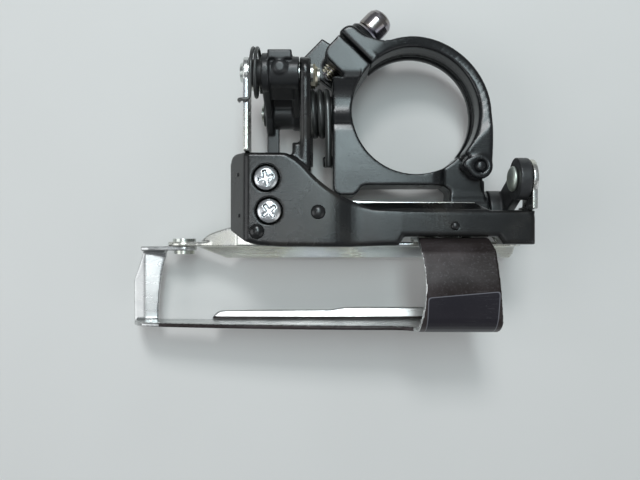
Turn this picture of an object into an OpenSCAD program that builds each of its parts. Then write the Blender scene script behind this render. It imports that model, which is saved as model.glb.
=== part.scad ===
// Front derailleur with a hinged seat tube clamp and a two-link parallelogram.
// Frame: origin on the seat tube axis at mid clamp, X forward, Y to the non-drive side, Z up the tube.

/* [Seat tube clamp] */
// Diameter of the seat tube
tube_d = 34.9; // [31.8:0.1:36]
// Width of the clamp along the tube
clamp_w = 15.3; // [14:0.1:18]
// Wall of the bracket below the tube
bracket_wall = 3.05; // [2.6:0.05:4]
// Diameter of the clamp bolt's thread
clamp_bolt_d = 5; // [4.6:0.1:5.2]
// Diameter of the clamp hinge pin
hinge_pin_d = 3; // [2.6:0.1:3.6]

/* [Links] */
// Distance between the two pivots of a link
link_len = 18.1; // [17:0.1:19.5]
// Lean of the links to the non-drive side at rest, in degrees
link_lean = 24.2; // [20:0.2:28]
// Diameter of the bracket's pivot pins
pivot_d = 4.5; // [4:0.1:5]
// Diameter of the carrier's pivot pins
carrier_pin_d = 4.4; // [4:0.1:4.8]

/* [Carrier] */
// Length of the carrier's arm ahead of the seat tube's front
arm_front = 12.35; // [11.95:0.05:14.55]
// Height of the carrier's body
carrier_h = 8; // [7.6:0.1:9]
// Diameter of the limit screw heads
screw_head_d = 6.5; // [5.6:0.1:7]

/* [Cage] */
// Space between the two cage plates
cage_gap = 21.2; // [18:0.2:24]
// Sheet thickness of the cage plates
sheet_t = 1.2; // [1:0.05:1.4]
// Distance of the cage's tail behind the seat tube axis
tail_back = 80.2; // [78:0.2:88]
// Rise of the front bridge above the carrier's top
bridge_rise = 5.4; // [4:0.2:8]

/* [Springs] */
// Wire diameter of the return spring
return_wire = 1.6; // [1.3:0.05:1.65]
// Wire diameter of the helper spring
helper_wire = 0.85; // [0.65:0.05:0.9]

/* [Hidden] */
$fn = 64;
r0 = tube_d / 2;
zt = clamp_w / 2;
// Clamp hinge axis
hx = (r0 + 5.75) * cos(-41.2);
hy = (r0 + 5.75) * sin(-41.2);
knuckle_r = 3.5;
knuckle_z = 2.5;
// Clamp bolt line: its heading and its distance from the tube axis
bolt_a = 46;
bolt_n = r0 + 7.75;
bolt_r = clamp_bolt_d / 2;
ear_face = 0.2;
band_face = 0.9;
bolt_seat = band_face + 6.2;
// Rise of the hinge eye above the band
eye_rise = 0.35;
// Link pivots in the YZ plane
dy = link_len * sin(link_lean);
dz = link_len * cos(link_lean);
f1y = 0.8;
fz = -2.5;
f2y = -(r0 + 9.45);
m1y = f1y + dy;
m2y = f2y + dy;
mz = fz + dz;
pivot_r = pivot_d / 2;
cpin_r = carrier_pin_d / 2;
run = 0.05;
// Stations along X, from the bracket's rear face to the rear
xr = -(r0 + 5.25);
link_x1 = xr - 6.1;
ear_x1 = xr - 5.9;
ear_x0 = xr - 8.75;
link_x2 = ear_x0 - 0.2;
link_x3 = xr - 11;
blk_x = xr - 10.8;
cheek_x1 = xr - 16.6;
cheek_x0 = xr - 18.6;
strap_x1 = cheek_x0 - 0.34 - helper_wire - 1.533 * (helper_wire + 0.43);
strap_x0 = strap_x1 - 1.5;
rear_x = strap_x1 - 6;
// Stations along X ahead of the tube
arm_x = r0 + arm_front;
lug_x0 = r0 - 7.4;
lug_x1 = r0 + 3.7;
olink_x0 = lug_x1 + 0.3;
olink_x1 = arm_x - 2.1;
tab_x0 = arm_x - 1.9;
tab_x1 = arm_x - 0.5;
// Carrier heights and edges
plate_z1 = mz - 6;
plate_z0 = plate_z1 - 1.6;
top_z = plate_z1 + carrier_h;
arm_in = m2y - 8.1;
arm_out = arm_in - 9.2;
notch_y = m2y - 15.1;
blk_in = m2y + 5.6;
// Cage plates: outboard face of the inner web, inner face of the outer web
iy = notch_y - 0.1 - 2 * sheet_t - 0.05;
oy = iy - cage_gap;
rivet_x = -(tail_back - 14.6);
rivet_z = -4.5;
strap_z = -5.6;
// Cable anchor on the inner link
ay = f1y + 9.3;
az = fz + 5.6;
// Limit screws
lsx = strap_x1 + 4.3;
hsx = strap_x1 + 5.1;
lsy = blk_in - 5.5;
hsy = blk_in - 14;
screw_r = 1.95;
head_r = screw_head_d / 2;

// Colours
black = [0.09, 0.09, 0.1];
satin = [0.12, 0.12, 0.13];
plated = [0.76, 0.77, 0.75];
sheet = [0.36, 0.35, 0.35];
resin = [0.86, 0.82, 0.7];
wire = [0.16, 0.16, 0.17];

// Round bars and flat shapes laid along an axis
module bar_x(r, x0, x1, y, z) translate([x0, y, z]) rotate([0, 90, 0]) cylinder(r = r, h = x1 - x0);
module bar_y(r, y0, y1, x, z) translate([x, y1, z]) rotate([90, 0, 0]) cylinder(r = r, h = y1 - y0);
module bar_z(r, z0, z1, x, y) translate([x, y, z0]) cylinder(r = r, h = z1 - z0);
module box(a, b) translate(a) cube(b - a);
module flat_x(x0, x1) translate([x0, 0, 0]) rotate([90, 0, 90]) linear_extrude(x1 - x0) children();
module flat_y(y0, y1) translate([0, y1, 0]) rotate([90, 0, 0]) linear_extrude(y1 - y0) children();
module flat_z(z0, z1) translate([0, 0, z0]) linear_extrude(z1 - z0) children();
// Straight rib across X between two pivots
module rib_x(x0, x1, p, q, w) translate([x0, p[0], p[1]]) rotate([atan2(q[1] - p[1], q[0] - p[0]), 0, 0])
  translate([0, 0, -w / 2]) cube([x1 - x0, norm(q - p), w]);
// Anything laid along the clamp bolt, which then runs along X
module on_bolt() rotate([0, 0, bolt_a]) translate([0, bolt_n, 0]) children();

// Curved edge between two points, bowed to the left by s
function bow(a, b, s, n = 8) = let (d = b - a, q = [-d[1], d[0]] / norm(d)) [for (i = [0:n]) let (u = i / n) a + u * d + 4 * s * u * (1 - u) * q];
// Plan point given along and across the clamp bolt
function plan(t, n) = [t * cos(bolt_a) - n * sin(bolt_a), t * sin(bolt_a) + n * cos(bolt_a)];

// Clamp half with the pivots
module bracket() color(black) difference() {
  union() {
    difference() {
      flat_z(-zt, zt) polygon(concat([plan(ear_face, r0 - 2), plan(ear_face, bolt_n + 4.1), plan(-4.6, bolt_n + 4.1), plan(-6.3, bolt_n + 3.4), plan(-6.8, bolt_n + 1.9), plan(-6.8, bolt_n - 5.1),
        [xr, 9], [xr, -(r0 + 3.6)]], bow([xr, -(r0 + 3.7)], [xr + 2.4, -(r0 + 5.7)], -0.7, 5),
        [[xr + 5.6, -(r0 + 5.7)], [xr + 6.5, -(r0 + 5.2)], [xr + 7.9, -(r0 + bracket_wall + 0.3)], [xr + 8.8, -(r0 + bracket_wall)],
        [8, -(r0 + bracket_wall)], [8, -r0 * 0.8], [0, 0]]));
      // Round dip over the rear pivot boss
      bar_x(9.5, xr - 1, -r0 + 3, f1y + 1.7, zt + 7);
      // Rounded end of the wall towards the hinge
      flat_y(-r0 - 9, -r0 * 0.6) polygon(concat([[4.6, zt + 1]], bow([4.6, zt], [8.1, zt - 3.5], 1), [[9, zt - 3.5], [9, zt + 1]]));
    }
    // Lower shelf that carries the hinge knuckle
    flat_z(-zt, knuckle_z - 0.1) polygon([[6, -r0 - 1], [lug_x0 + 0.3, -(r0 + 4.3)], [lug_x0 + 3, -(r0 + 6)], [hx + 1.6, -(r0 + 5.8)],
      plan(ear_face, -(r0 + 9)), plan(ear_face, -r0 + 1.5), [6, -r0 * 0.6]]);
    bar_z(knuckle_r, -zt, knuckle_z - 0.1, hx, hy);
    // Rear pivot boss
    bar_x(5.7, xr - 0.2, -r0 + 2.5, f1y, fz);
    // Front pivot lug, blended into the shelf
    bar_x(5.6, lug_x0, lug_x1, f2y, fz);
    flat_x(lug_x0 + 0.2, lug_x1 - 1.2) polygon([[f2y + 0.4, fz - 5.1], [f2y + 0.4, fz + 4.9], [f2y + 4, fz + 5.1], [-(r0 + 3), knuckle_z - 0.6], [-(r0 + 1.4), knuckle_z - 0.6], [-(r0 + 1.4), fz - 5.1]]);
    // Spring stop on the rear face
    bar_x(1.6, xr - 2.7, xr + 2, f1y - 14.3, fz + ret_r - return_wire / 2 - 1.62);
    // Gusset beside the ear
    flat_z(-zt + 0.3, -zt + 3.1) polygon([[xr - 9.3, 15.4], [xr - 9, 17], [xr - 2.9, 23.2], [xr + 3, 19.5], [xr + 4.5, 8], [xr + 0.5, 8]]);
  }
  bar_z(r0, -zt - 1, zt + 1, 0, 0);
  // Space for the band's eye
  bar_z(knuckle_r + 0.4, knuckle_z - 0.1, zt + 1, hx, hy);
  bar_z(hinge_pin_d / 2, -zt - 1, zt, hx, hy);
  on_bolt() bar_x(bolt_r + 0.15, -14, 2, 0, 0);
  bar_x(pivot_r, xr - 1, -r0 - 1.6, f1y, fz);
  bar_x(pivot_r, lug_x0 + 2, lug_x1 + 1, f2y, fz);
}

// Hinged clamp half
module clamp_band() color(black) difference() {
  union() {
    difference() {
      union() {
        bar_z(r0 + 3.35, -zt, zt - eye_rise, 0.1, -0.25);
        // Ear: a smooth hump with the boss that the bolt seats on
        flat_z(-zt, zt - eye_rise) polygon([for (p = concat([[band_face, r0 - 2], [band_face, bolt_n + 4.7]], bow([band_face + 0.4, bolt_n + 4.8], [band_face + 4.2, bolt_n + 0.9], 1.5),
          bow([band_face + 4.4, bolt_n - 0.4], [band_face + 9.6, bolt_n - 8.7], -1.1), [[band_face + 9.6, bolt_n - 12]])) plan(p[0], p[1])]);
        on_bolt() bar_x(4.7, band_face, bolt_seat, 0, 0);
        // Thicker wall towards the hinge
        flat_z(-zt, zt - eye_rise) polygon(concat([[0, 0]], bow([r0 + 3.3, 2], [hx + knuckle_r - 0.05, hy + 1], 0.3), [[hx, hy], [hx - 3.2, hy + 1.8]]));
      }
      on_bolt() box([-3 * r0, -3.6 * r0, -zt - 1], [band_face, 12, zt + 1]);
      // Waist in the band's upper edge, midway between ear and eye
      rotate([0, 0, 45]) translate([1, 0, zt - eye_rise + 57.4]) rotate([0, 90, 0]) cylinder(r = 60, h = r0 + 8);
      // Room for the bracket's knuckle under the eye
      bar_z(knuckle_r + 0.4, -zt - 1, knuckle_z, hx, hy);
      on_bolt() translate([0, -bolt_n, 0]) box([-5, -r0 - 16, -zt - 1], [7, -r0 - 2, knuckle_z]);
    }
    // Eye: a raised flat with a rounded corner towards the tube
    bar_z(knuckle_r, knuckle_z, zt, hx, hy);
    flat_z(knuckle_z, zt) polygon([[hx - 1, hy + 3.3], [hx - 3.6, hy + 2.3], [hx - 4.7, hy + 1.3], [hx - 4.9, hy + 0.4], [hx - 4.4, hy - 0.5], [hx - 1.5, hy - 3.1], [hx, hy]]);
  }
  bar_z(r0, -zt - 1, zt + 1, 0, 0);
  // Relief inside the band, between its two rims
  rotate_extrude() polygon([[r0 - 1, -zt + 2.2], [r0, -zt + 2.2], [r0 + 0.8, -zt + 2.35], [r0 + 0.6, 0], [r0, 0.7], [r0 - 1, 0.7]]);
  bar_z(hinge_pin_d / 2 + run, 0, zt + 1, hx, hy);
  on_bolt() bar_x(bolt_r + 0.05, -5, 20, 0, 0);
}

module clamp_hinge_pin() color(plated) union() {
  bar_z(hinge_pin_d / 2, -zt - 0.5, zt + 0.35, hx, hy);
  bar_z(hinge_pin_d / 2 + 0.7, -zt - 0.9, -zt, hx, hy);
  bar_z(hinge_pin_d / 2 + 0.25, zt, zt + 0.45, hx, hy);
}

// Clamp bolt: plain shank in the band's ear, thread drawn at its root in the bracket's ear
module clamp_bolt() color(plated) on_bolt() difference() {
  union() {
    bar_x(bolt_r - 0.42, -7, band_face + 0.2, 0, 0);
    translate([-9.4, 0, 0]) rotate([0, 90, 0]) cylinder(r1 = 1.3, r2 = 1.8, h = 2.6);
    bar_x(bolt_r - 0.02, band_face + 0.1, bolt_seat + 1.3, 0, 0);
    // Domed head
    translate([bolt_seat + 1.2, 0, 0]) rotate([0, 90, 0]) rotate_extrude() polygon([[0, 0], [bolt_r + 1.2, 0], [bolt_r + 1.4, 0.4], [bolt_r + 1.4, 3.4], [bolt_r + 1.2, 4.5], [bolt_r + 0.6, 5.5], [bolt_r - 0.2, 6], [0, 6]]);
  }
  // Hexagonal key socket
  translate([bolt_seat + 4.2, 0, 0]) rotate([0, 90, 0]) cylinder(r = 2.1, h = 6, $fn = 6);
}

module clamp_washer() color(plated) on_bolt() difference() {
  translate([bolt_seat, 0, 0]) rotate([0, 90, 0]) cylinder(r1 = bolt_r + 1.9, r2 = bolt_r + 1, h = 1.15);
  bar_x(bolt_r + 0.1, bolt_seat - 1, bolt_seat + 3, 0, 0);
}

// Pins and clips of the bracket's pivots
module inner_link_pin() color(plated) difference() {
  bar_x(pivot_r, cheek_x0 - 1.4, -r0 - 1.7, f1y, fz);
  difference() {
    bar_x(pivot_r + 1, cheek_x0 - 0.85, cheek_x0 - 0.15, f1y, fz);
    bar_x(pivot_r - 0.5, cheek_x0 - 1, cheek_x0, f1y, fz);
  }
}

module inner_link_clip() color(wire) clip(cheek_x0 - 0.8, cheek_x0 - 0.2, f1y);

module outer_link_pin() color(plated) difference() {
  bar_x(pivot_r, lug_x0 + 2.1, olink_x1 + 1.1, f2y, fz);
  difference() {
    bar_x(pivot_r + 1, olink_x1 - 0.05, olink_x1 + 0.65, f2y, fz);
    bar_x(pivot_r - 0.5, olink_x1 - 1, olink_x1 + 1, f2y, fz);
  }
}

module outer_link_clip() color(wire) clip(olink_x1, olink_x1 + 0.6, f2y);

// Open retaining clip round a pivot pin
module clip(x0, x1, y) difference() {
  bar_x(pivot_r + 1.3, x0, x1, y, fz);
  bar_x(pivot_r - 0.48, x0 - 1, x1 + 1, y, fz);
  box([x0 - 1, y - pivot_r + 0.5, fz - pivot_r - 4], [x1 + 1, y + pivot_r - 0.5, fz]);
}

// Round wire along a list of points: six sides, rings carried along without twist
function unit(v) = v / norm(v);
function tangent(p, i) = unit(p[min(i + 1, len(p) - 1)] - p[max(i - 1, 0)]);
function level(n, t) = unit(n - (n * t) * t);
module tube(p, d, n0) {
  m = len(p);
  nn = [for (i = 0, n = level(n0, tangent(p, 0)); i < m; i = i + 1, n = level(n, tangent(p, min(i, m - 1)))) n];
  pts = [for (i = [0:m - 1], k = [0:5]) let (t = tangent(p, i), b = cross(t, nn[i])) p[i] + d / 2 * (cos(60 * k) * nn[i] + sin(60 * k) * b)];
  sides = [for (i = [0:m - 2], k = [0:5]) let (a = 6 * i + k, b = 6 * i + (k + 1) % 6) each [[a, a + 6, b], [b, a + 6, b + 6]]];
  ends = [for (k = [1:4]) each [[0, k, k + 1], [6 * m - 6, 6 * m - 6 + k + 1, 6 * m - 6 + k]]];
  polyhedron(pts, concat(sides, ends));
}
// Least clear gap between parts of a wire that are more than half a turn apart
function wire_gap(p, d) = min([for (i = [0:len(p) - 1], j = [i + 5:1:len(p) - 1]) norm(p[i] - p[j])]) - d;

// Return spring: two and a half turns, both legs towards the drive side
ret_r = 6.15;
ret_pitch = return_wire + 0.45;
ret_x0 = xr - 0.55 - return_wire / 2 - 2.5 * ret_pitch;
ret_coil = [for (i = [0:20]) let (a = -90 + 45 * i) [ret_x0 + ret_pitch * i / 8, f1y + ret_r * cos(a), fz + ret_r * sin(a)]];
ret_path = concat(
  [[ret_x0 - 0.2, f1y - 14.5, fz - ret_r], [ret_x0 - 0.2, f1y - 9, fz - ret_r], [ret_x0 - 0.12, f1y - 4, fz - ret_r]], ret_coil,
  [[ret_coil[20][0] + 0.12, f1y - 4, fz + ret_r], [ret_coil[20][0] + 0.2, f1y - 9, fz + ret_r], [ret_coil[20][0] + 0.2, f1y - 16, fz + ret_r]]);
module return_spring() color(wire) tube(ret_path, return_wire, [0, 0, 1]);

// Helper spring: a turn and a half round the carrier's rear pin, one leg hooked over the strap
hlp_r = 6.2;
hlp_pitch = helper_wire + 0.43;
hlp_x1 = cheek_x0 - 0.17 - helper_wire / 2;
hlp_coil = [for (i = [0:13]) let (a = -90 + 552 / 13 * i) [hlp_x1 - hlp_pitch * (a + 90) / 360, m1y + hlp_r * cos(a), mz + hlp_r * sin(a)]];
hlp_end = hlp_coil[13];
hlp_z = mz + 3.4 + 0.35 + helper_wire / 2;
hlp_path = concat([[hlp_x1, m1y - 4, mz - hlp_r], [hlp_x1, m1y - 2.4, mz - hlp_r]], hlp_coil,
  [[hlp_end[0] - 0.1, m1y - 3.9, (hlp_end[2] + hlp_z) / 2 + 0.25], [hlp_end[0] - 0.2, m1y - 6.4, hlp_z + 0.15], [hlp_end[0] - 0.5, m1y - 7.4, hlp_z],
   [hlp_end[0] - 1.2, m1y - 7.8, hlp_z], [strap_x0 - 0.1, m1y - 7.8, hlp_z], [strap_x0 - 0.7, m1y - 7.8, hlp_z - 0.25], [strap_x0 - 0.95, m1y - 7.8, hlp_z - 0.8],
   [strap_x0 - 1, m1y - 7.8, hlp_z - 2.2]]);
module helper_spring() color(wire) tube(hlp_path, helper_wire, [1, 0, 0]);
echo(return_spring_gap = wire_gap(ret_path, return_wire), helper_spring_gap = wire_gap(hlp_path, helper_wire));

module spring_bush() color(resin) difference() {
  bar_x(ret_r - return_wire / 2 - 0.45, xr - 5.8, xr - 0.2, f1y, fz);
  bar_x(pivot_r + 0.02, xr - 7, xr + 1, f1y, fz);
}

// Inner link: two cheeks joined by barrels, cable arm, stop finger and spring arm
module inner_link() color(satin) difference() {
  union() {
    bar_x(6.4, cheek_x0, cheek_x1, f1y, fz);
    bar_x(5, cheek_x0, cheek_x1, m1y, mz);
    rib_x(cheek_x0, cheek_x1, [f1y, fz], [m1y, mz], 9);
    bar_x(4.1, cheek_x1 - 0.5, link_x3 + 0.5, m1y, mz);
    bar_x(4.4, cheek_x1 - 0.5, link_x1, f1y, fz);
    bar_x(4.1, link_x3, link_x2, m1y, mz);
    bar_x(4.8, link_x3, link_x2, f1y, fz);
    rib_x(link_x3, link_x2, [f1y, fz], [m1y, mz], 7.4);
    bar_x(4, cheek_x0, link_x1 - 0.6, ay, az);
    rib_x(cheek_x0 + 0.4, link_x1 - 1.4, [f1y, fz], [ay, az], 6.4);
    // Web between the cheeks, square tab and stud on the upper barrel
    rib_x(cheek_x1 - 0.4, link_x3 + 0.4, [m1y, mz], [m1y, mz] - 6.3 * unit([dy, dz]), 7.9);
    box([cheek_x1 - 0.3, m1y + 2.6, mz - 2.2], [link_x3 + 0.3, m1y + 4.8, mz + 4.7]);
    bar_z(1.9, mz, mz + 4.4, (cheek_x1 + link_x3) / 2, m1y + 0.5);
    translate([(cheek_x1 + link_x3) / 2, m1y + 0.5, mz + 4.3]) cylinder(r1 = 1.9, r2 = 1.2, h = 0.6);
    // Finger under the low limit screw
    box([cheek_x0, lsy - 2.2, fz - 2], [cheek_x0 + 3.4, f1y, fz + 1]);
    // Arm that the return spring pushes
    box([link_x1 - 3.2, f1y - 13.2, fz - 4.1], [link_x1, f1y, fz - 1.4]);
    bar_x(1.3, link_x1 - 1, ret_x0 + 0.9, f1y - 11.7, fz - ret_r + return_wire / 2 + 1.6);
  }
  bar_x(pivot_r + run, cheek_x0 - 1, link_x1 + 3, f1y, fz);
  bar_x(cpin_r + run, cheek_x0 - 1, link_x2 + 1, m1y, mz);
  bar_x(2.5, cheek_x0 - 1, link_x1 + 1, ay, az);
}

module cable_anchor_bolt() color(plated) difference() {
  union() {
    bar_x(2.42, cheek_x0 - 1.2, xr - 3.6, ay, az);
    bar_x(4, cheek_x0 - 1.9, cheek_x0 - 1.15, ay, az);
    translate([cheek_x0 - 4.8, ay, az]) rotate([0, 90, 0]) cylinder(r = 4, h = 3, $fn = 6);
  }
  translate([cheek_x0 - 6, ay, az]) rotate([0, 90, 0]) cylinder(r = 2.3, h = 3, $fn = 6);
}

// Claw washer with the cable's groove
module cable_claw() color(plated) difference() {
  union() {
    bar_x(3.95, cheek_x0 - 1.1, cheek_x0, ay, az);
    box([cheek_x0 - 1.1, ay + 0.5, az - 2.6], [cheek_x0, ay + 5.4, az + 2.6]);
    box([cheek_x0 - 1.1, ay + 4.2, az - 2.6], [cheek_x0 + 1.6, ay + 5.4, az + 2.6]);
  }
  bar_x(2.5, cheek_x0 - 2, cheek_x0 + 1, ay, az);
  translate([cheek_x0 + 0.1, ay + 3.2, az - 6]) cylinder(r = 0.65, h = 12);
}

module cable_anchor_nut() color(plated) difference() {
  union() {
    translate([link_x1 - 0.6, ay, az]) rotate([0, 90, 0]) cylinder(r = 3.5, h = 1.9, $fn = 6);
    translate([link_x1 + 1.2, ay, az]) rotate([0, 90, 0]) cylinder(r1 = 3, r2 = 2.7, h = 0.7);
  }
  bar_x(2.5, link_x1 - 2, xr, ay, az);
}

// Outer link: upper eye on the carrier's pin, lower eye on the bracket's pin
module outer_link() color(satin) difference() {
  union() {
    bar_x(5.5, olink_x0 + 3.2, olink_x1, m2y, mz);
    bar_x(5.6, olink_x0, olink_x1 - 0.4, f2y, fz);
    rib_x(olink_x0 + 3.4, olink_x1 - 0.5, [f2y, fz], [m2y, mz], 7.6);
  }
  bar_x(pivot_r + run, olink_x0 - 1, olink_x1 + 1, f2y, fz);
  bar_x(cpin_r + run, olink_x0 - 1, olink_x1 + 1, m2y, mz);
}

// Carrier: block with the limit screws, arm to the front, cast ear at the rear pivot
module carrier() color(satin) difference() {
  union() {
    difference() {
      flat_z(plate_z1, top_z) polygon(concat([[rear_x, blk_in - 1.4]], bow([rear_x + 0.3, blk_in - 0.2], [rear_x + 2.2, blk_in + 1.3], 0.4, 4),
        [[blk_x - 2, blk_in + 1.2]], bow([blk_x - 1.2, blk_in + 1], [ear_x1, blk_in - 3.9], 0.5, 5), bow([ear_x1 + 0.5, blk_in - 4.4], [xr + 5.4, arm_in + 2.2], -0.7),
        [[xr + 12, arm_in + 2.3], [olink_x0 - 6, arm_in + 2.2], [olink_x0 - 3.4, arm_in], [arm_x, arm_in], [arm_x, arm_out + 0.2], [arm_x - 8.3, arm_out + 0.2], [arm_x - 9.6, notch_y], [-4.3, notch_y], [-5.6, arm_out],
        [xr + 4, arm_out - 0.5], [blk_x - 3, arm_out - 0.4], [strap_x1 + 2, arm_out], [strap_x1 - 0.8, arm_out + 0.8], [rear_x, arm_out + 4]]));
      // Sloped rear wall
      translate([strap_x1 - 1.2, 0, top_z]) rotate([0, 31, 0]) translate([-20, -80, -30]) cube([20, 120, 40]);
      // Shallow valley between the block and the arm, which is a little lower
      flat_y(arm_out - 5, arm_in + 6) polygon(concat([[xr + 0.6, top_z + 2]], bow([xr + 0.6, top_z], [xr + 4.6, top_z - 1.15], 0.15, 4), bow([xr + 5.4, top_z - 1.25], [xr + 17, top_z - 0.7], 0.2, 6),
        [[arm_x + 1, top_z - 0.7], [arm_x + 1, top_z + 2]]));
      // Draft on the arm's inboard wall
      intersection() {
        flat_x(xr + 3, olink_x0) polygon([[arm_in + 2.4, plate_z1 + 0.5], [arm_in, top_z - 0.6], [arm_in - 0.3, top_z + 2], [arm_in + 8, top_z + 2], [arm_in + 8, plate_z1 + 0.5]]);
        flat_z(plate_z1, top_z + 3) polygon([[xr + 5, arm_in + 2.5], [xr + 9, arm_in + 0.9], [xr + 14.5, arm_in - 0.6], [olink_x0 + 1, arm_in - 0.6], [olink_x0 + 1, arm_in + 9], [xr + 5, arm_in + 9]]);
      }
      // Bevel along the arm's inboard edge, wider to the front
      translate([xr + 14, arm_in, top_z - 1]) rotate([0, 0, -1.8]) rotate([45, 0, 0]) translate([-5, 0, 0]) cube([60, 4, 4]);
    }
    // Ear of the rear pivot, sloping down into the block
    bar_x(4, ear_x0, ear_x1, m1y, mz);
    flat_x(ear_x0, ear_x1) polygon([[m1y, mz + 3.8], [m1y - 7, mz + 3], [blk_in + 5, top_z - 0.7], [blk_in - 4.5, top_z - 1], [blk_in - 4.5, plate_z1 + 0.3], [blk_in + 6, plate_z1 + 0.3], [m1y - 2, mz - 3.6], [m1y, mz - 3.8]]);
    box([blk_x, blk_in - 1.4, plate_z1], [ear_x0 + 1, blk_in + 4, mz + 1]);
  }
  bar_x(cpin_r, ear_x0 - 1, ear_x1 + 1, m1y, mz);
  // Screw recesses and holes
  for (p = [[lsx, lsy], [hsx, hsy]]) {
    bar_z(head_r + 0.32, top_z - 1.7, top_z + 1, p[0], p[1]);
    bar_z(screw_r + run, plate_z1 - 1, top_z, p[0], p[1]);
  }
  // Pockets for the strap and the tab of the plate below
  box([strap_x0 - 0.05, blk_in - 8, plate_z1 - 1], [strap_x1 + 0.05, blk_in + 3, top_z - 3.2]);
  box([tab_x0 - 0.05, arm_in - 5, plate_z1 - 1], [tab_x1 + 0.05, arm_in + 3, top_z - 1.6]);
  for (p = carrier_rivets) bar_z(p[2], plate_z1 - 1, top_z + 1, p[0], p[1]);
}

// Steel plate under the carrier, with the rear strap and the front tab
module carrier_plate() color(plated) difference() {
  union() {
    flat_z(plate_z0, plate_z1) polygon([[strap_x0, blk_in - 1.5], [blk_x - 2, blk_in - 1.2], [ear_x1 + 0.2, blk_in - 5.4], [ear_x1 + 2.4, blk_in - 8], [xr + 4.6, arm_in + 3],
      [xr + 12, arm_in + 2.7], [olink_x0 - 6, arm_in + 2.6], [olink_x0 - 3, arm_in - 0.9], [tab_x1, arm_in - 0.9],
      [tab_x1, arm_out + 1], [arm_x - 8, arm_out + 1], [arm_x - 8, notch_y + 0.4], [-4.6, notch_y + 0.4], [-5.9, arm_out + 0.9],
      [blk_x - 3, arm_out + 0.9], [strap_x0, arm_out + 3]]);
    // Strap
    box([strap_x0, blk_in - 7.9, plate_z0], [strap_x1, blk_in - 1.5, top_z - 3.25]);
    box([strap_x0, blk_in - 4, mz - 3.6], [strap_x1, blk_in + 2, top_z - 3.25]);
    box([strap_x0, blk_in + 1.4, mz - 3.6], [strap_x1, m1y, mz + 3.4]);
    bar_x(4, strap_x0, strap_x1, m1y, mz);
    // Tab
    box([tab_x0, arm_in - 4.9, plate_z0], [tab_x1, arm_in + 1, top_z - 1.65]);
    box([tab_x0, arm_in + 0.1, mz - 4.4], [tab_x1, m2y, mz + 4.2]);
    bar_x(5.1, tab_x0, tab_x1, m2y, mz);
  }
  bar_x(cpin_r, strap_x0 - 1, strap_x1 + 1, m1y, mz);
  bar_x(cpin_r, tab_x0 - 1, tab_x1 + 1, m2y, mz);
  for (p = [[lsx, lsy], [hsx, hsy]]) bar_z(screw_r + run, plate_z0 - 1, plate_z1 + 1, p[0], p[1]);
  for (p = carrier_rivets) bar_z(p[2], plate_z0 - 1, plate_z1 + 1, p[0], p[1]);
}

module rear_carrier_pin() color(plated) union() {
  bar_x(cpin_r, strap_x0 - 0.1, ear_x1 + 0.6, m1y, mz);
  translate([strap_x0 - 0.9, m1y, mz]) rotate([0, 90, 0]) cylinder(r1 = cpin_r + 0.1, r2 = cpin_r + 0.7, h = 0.9);
}

module rear_pin_washer() color(plated) difference() {
  bar_x(3.7, strap_x1, strap_x1 + 0.6, m1y, mz);
  bar_x(cpin_r + 0.02, strap_x1 - 1, strap_x1 + 1, m1y, mz);
}

module helper_bush() color(resin) difference() {
  bar_x(3.4, strap_x1 + 0.6, cheek_x0 - 0.1, m1y, mz);
  bar_x(cpin_r + 0.02, strap_x1, cheek_x0 + 1, m1y, mz);
}

module front_carrier_pin() color(plated) union() {
  bar_x(cpin_r, olink_x0 + 2.6, tab_x1 + 0.1, m2y, mz);
  bar_x(cpin_r + 1.1, olink_x0 + 2.05, olink_x0 + 3, m2y, mz);
  translate([tab_x1, m2y, mz]) rotate([0, 90, 0]) cylinder(r1 = cpin_r + 0.6, r2 = cpin_r, h = 0.6);
}

// Cross-head limit screw, its head seated in a recess of the carrier
module limit_screw(x, y, tip, turn) difference() {
  union() {
    bar_z(screw_r, tip, top_z - 1.6, x, y);
    // Domed head
    translate([x, y, top_z]) rotate_extrude() polygon([[0, -1.65], [head_r, -1.65], [head_r, -0.5], [head_r * 0.93, -0.05], [head_r * 0.75, 0.32], [head_r * 0.45, 0.58], [0, 0.7]]);
  }
  for (a = [turn, turn + 90]) translate([x, y, top_z - 1]) rotate([0, 0, a]) translate([-2.1, -0.5, 0]) cube([4.2, 1, 4]);
}
module limit_screw_low() color(plated) limit_screw(lsx, lsy, fz + 1.3, 14);
module limit_screw_high() color(plated) limit_screw(hsx, hsy, fz + 4.5, 38);

module limit_screw_plate() color(resin) difference() {
  box([lsx - 4, hsy - 3.4, plate_z0 - 3.1], [lsx + 5, lsy + 3.6, plate_z0]);
  for (p = [[lsx, lsy], [hsx, hsy]]) bar_z(screw_r + run, plate_z0 - 5, plate_z0 + 1, p[0], p[1]);
}

// Inner cage plate: upper web, pressed step below it, top flange, gusset and tail
step_z = -3;
step_dz = 3.5;
step_dy = 3.5;
low_z = -13.6;
pf = arm_x + 0.2;
step_x = rivet_x + 12;
flange_x = strap_x0 - 3;
flange_w = sheet_t + 4.5;
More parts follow.
